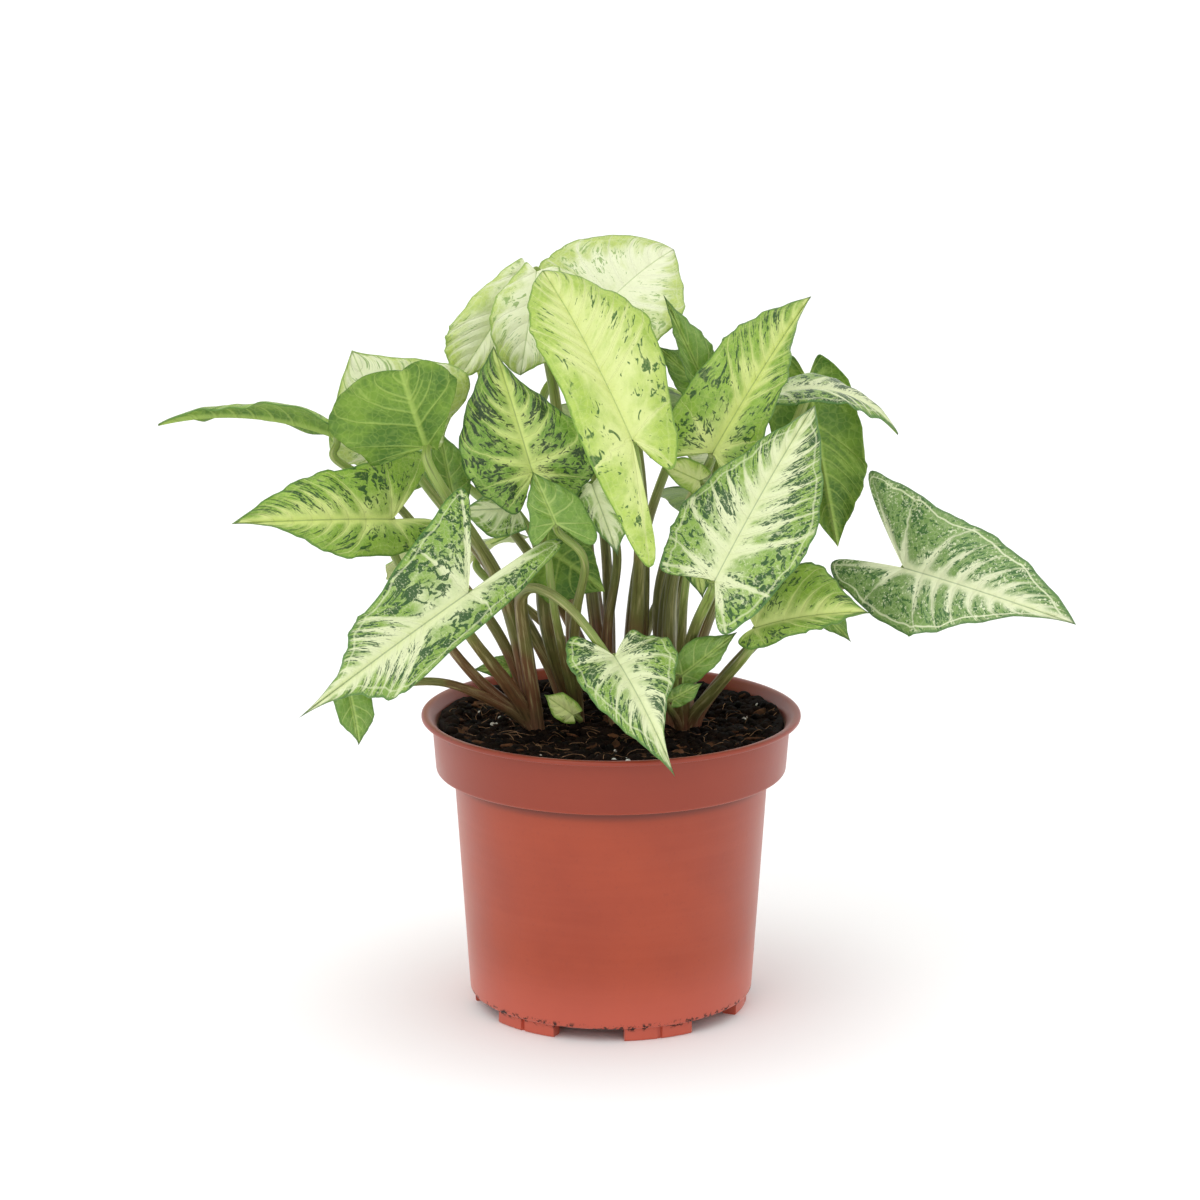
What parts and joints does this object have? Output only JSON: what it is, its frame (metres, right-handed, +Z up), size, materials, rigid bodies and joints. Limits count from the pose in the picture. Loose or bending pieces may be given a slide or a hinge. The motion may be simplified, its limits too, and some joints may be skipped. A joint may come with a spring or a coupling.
{
  "type": "arrowhead plant in a nursery pot",
  "caption": "Bushy foliage plant with long-stalked arrow-shaped leaves variegated in cream, lime and dark green, growing in a round terracotta-coloured plastic nursery pot.",
  "frame": {"origin": "on the plane that the pot's feet stand on, at the pot's axis, within about 2 mm of the middle of the whole plant's box", "axes": "+Z up along the pot's axis, -Y towards the front of the plant, +X to the right as seen from the front"},
  "size_m": [0.2794, 0.18, 0.2425],
  "materials": {
    "pot_plastic": "moulded satin, terracotta colour",
    "potting_mix": "dark crumbly peat mix with bark, fibres and perlite",
    "leaf_stalk": "smooth, olive to brown",
    "cream_leaf": "satin leaf, near white with few green specks",
    "lime_leaf": "satin leaf, bright lime with a pale midrib",
    "speckled_leaf": "satin leaf, lime with dark green specks",
    "mottled_leaf": "satin leaf, green mottled between pale veins",
    "panelled_leaf": "satin leaf, dark green panels in a cream vein net",
    "veined_leaf": "satin leaf, grey green with a white vein net",
    "green_leaf": "satin leaf, plain green",
    "leaf_underside": "matt leaf, plain green underside turned to the front"
  },
  "bodies": {
    "root": {"pot": "pot_plastic", "potting_mix": "potting_mix", "stalks_left": "leaf_stalk", "stalks_mid_left": "leaf_stalk", "stalks_mid": "leaf_stalk", "stalks_right": "leaf_stalk", "stalks_back": "leaf_stalk", "leaf_top": "cream_leaf", "leaf_top_left": "cream_leaf", "leaf_top_left_inner": "cream_leaf", "leaf_front_centre": "lime_leaf", "leaf_front_left": "mottled_leaf", "leaf_under_front_left": "panelled_leaf", "leaf_under_centre": "panelled_leaf", "leaf_far_left": "leaf_underside", "leaf_left_round": "leaf_underside", "leaf_left_cream": "cream_leaf", "leaf_left_inner": "leaf_underside", "leaf_left_low": "speckled_leaf", "leaf_front_low_left": "panelled_leaf", "leaf_under_low_left": "green_leaf", "leaf_small_centre": "green_leaf", "leaf_shaded_centre": "leaf_underside", "leaf_over_rim": "panelled_leaf", "leaf_upper_right": "speckled_leaf", "leaf_right_level": "panelled_leaf", "leaf_front_right": "panelled_leaf", "leaf_low_right": "speckled_leaf", "leaf_under_low_right": "green_leaf", "leaf_behind_front_right": "mottled_leaf", "leaf_far_right": "veined_leaf", "leaf_right_hanging": "leaf_underside", "leaf_young_upright": "green_leaf", "leaf_young_green": "green_leaf", "leaf_young_cream": "cream_leaf", "leaf_young_lime": "lime_leaf", "leaf_soil_lime": "lime_leaf", "leaf_soil_left": "green_leaf", "leaf_soil_right": "green_leaf", "leaf_soil_right_small": "green_leaf", "leaf_back_centre": "lime_leaf", "leaf_back_right_high": "speckled_leaf", "leaf_back_right_low": "panelled_leaf", "leaf_back_left_high": "speckled_leaf", "leaf_back_left_low": "lime_leaf", "leaf_back_top": "cream_leaf"}
  },
  "joints": []
}
